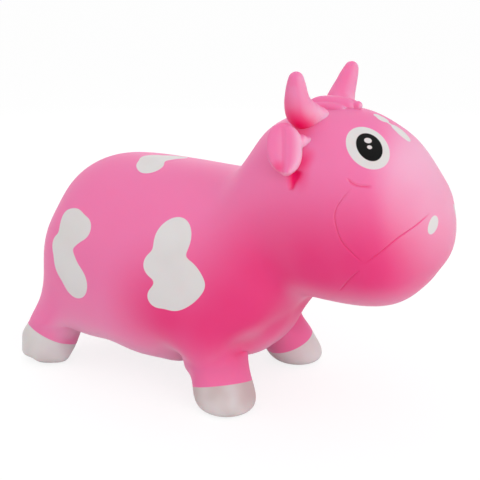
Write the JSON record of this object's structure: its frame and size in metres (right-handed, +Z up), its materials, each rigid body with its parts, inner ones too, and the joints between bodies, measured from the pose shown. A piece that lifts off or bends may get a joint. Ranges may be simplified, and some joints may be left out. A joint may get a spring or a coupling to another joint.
{
  "type": "bouncy ride on animal",
  "caption": "Air-filled soft vinyl cow that a small child sits on and bounces, with upright horns to hold, hanging ears, short splayed legs and a valve under the belly.",
  "frame": {"origin": "on the floor, under the middle of the animal's length and width", "axes": "+X towards the snout, +Y to the animal's left, +Z up"},
  "size_m": [0.5588, 0.264, 0.4018],
  "materials": {
    "skin": "satin",
    "hoof": "satin",
    "valve": "satin"
  },
  "bodies": {
    "body": {"torso_skin": "skin", "head_skin": "skin", "front_left_leg": "skin", "front_right_leg": "skin", "rear_left_leg": "skin", "rear_right_leg": "skin", "forelock": "skin", "tail": "skin", "valve_insert": "valve"},
    "front_left_foot": {"front_left_hoof": "hoof"},
    "front_right_foot": {"front_right_hoof": "hoof"},
    "rear_left_foot": {"rear_left_hoof": "hoof"},
    "rear_right_foot": {"rear_right_hoof": "hoof"},
    "left_horn": {"left_horn": "skin"},
    "right_horn": {"right_horn": "skin"},
    "left_ear": {"left_ear": "skin"},
    "right_ear": {"right_ear": "skin"},
    "plug": {"valve_plug": "valve"}
  },
  "joints": [
    {"name": "front_left_squash", "type": "slide", "parent": "body", "child": "front_left_foot", "axis": [0, 0, 1], "range_m": [0, 0.01], "stiffness_N_per_m": 4000, "deforming": ["front_left_leg"]},
    {"name": "front_right_squash", "type": "slide", "parent": "body", "child": "front_right_foot", "axis": [0, 0, 1], "range_m": [0, 0.01], "stiffness_N_per_m": 4000, "deforming": ["front_right_leg"]},
    {"name": "rear_left_squash", "type": "slide", "parent": "body", "child": "rear_left_foot", "axis": [0, 0, 1], "range_m": [0, 0.01], "stiffness_N_per_m": 4000, "deforming": ["rear_left_leg"]},
    {"name": "rear_right_squash", "type": "slide", "parent": "body", "child": "rear_right_foot", "axis": [0, 0, 1], "range_m": [0, 0.01], "stiffness_N_per_m": 4000, "deforming": ["rear_right_leg"]},
    {"name": "left_horn_bend", "type": "hinge", "parent": "body", "child": "left_horn", "pos_m": [0.11459, 0.03598, 0.35349], "axis": [0, 1, 0], "range_deg": [-15, 15], "stiffness_Nm_per_rad": 3},
    {"name": "right_horn_bend", "type": "hinge", "parent": "body", "child": "right_horn", "pos_m": [0.11459, -0.03598, 0.35349], "axis": [0, 1, 0], "range_deg": [-15, 15], "stiffness_Nm_per_rad": 3},
    {"name": "left_ear_flap", "type": "hinge", "parent": "body", "child": "left_ear", "pos_m": [0.12802, 0.06291, 0.33208], "axis": [1, 0, 0], "range_deg": [0, 40], "stiffness_Nm_per_rad": 0.15},
    {"name": "right_ear_flap", "type": "hinge", "parent": "body", "child": "right_ear", "pos_m": [0.12802, -0.06291, 0.33208], "axis": [-1, 0, 0], "range_deg": [0, 40], "stiffness_Nm_per_rad": 0.15},
    {"name": "plug_pull", "type": "slide", "parent": "body", "child": "plug", "axis": [0, 0, -1], "range_m": [0, 0.018]}
  ]
}
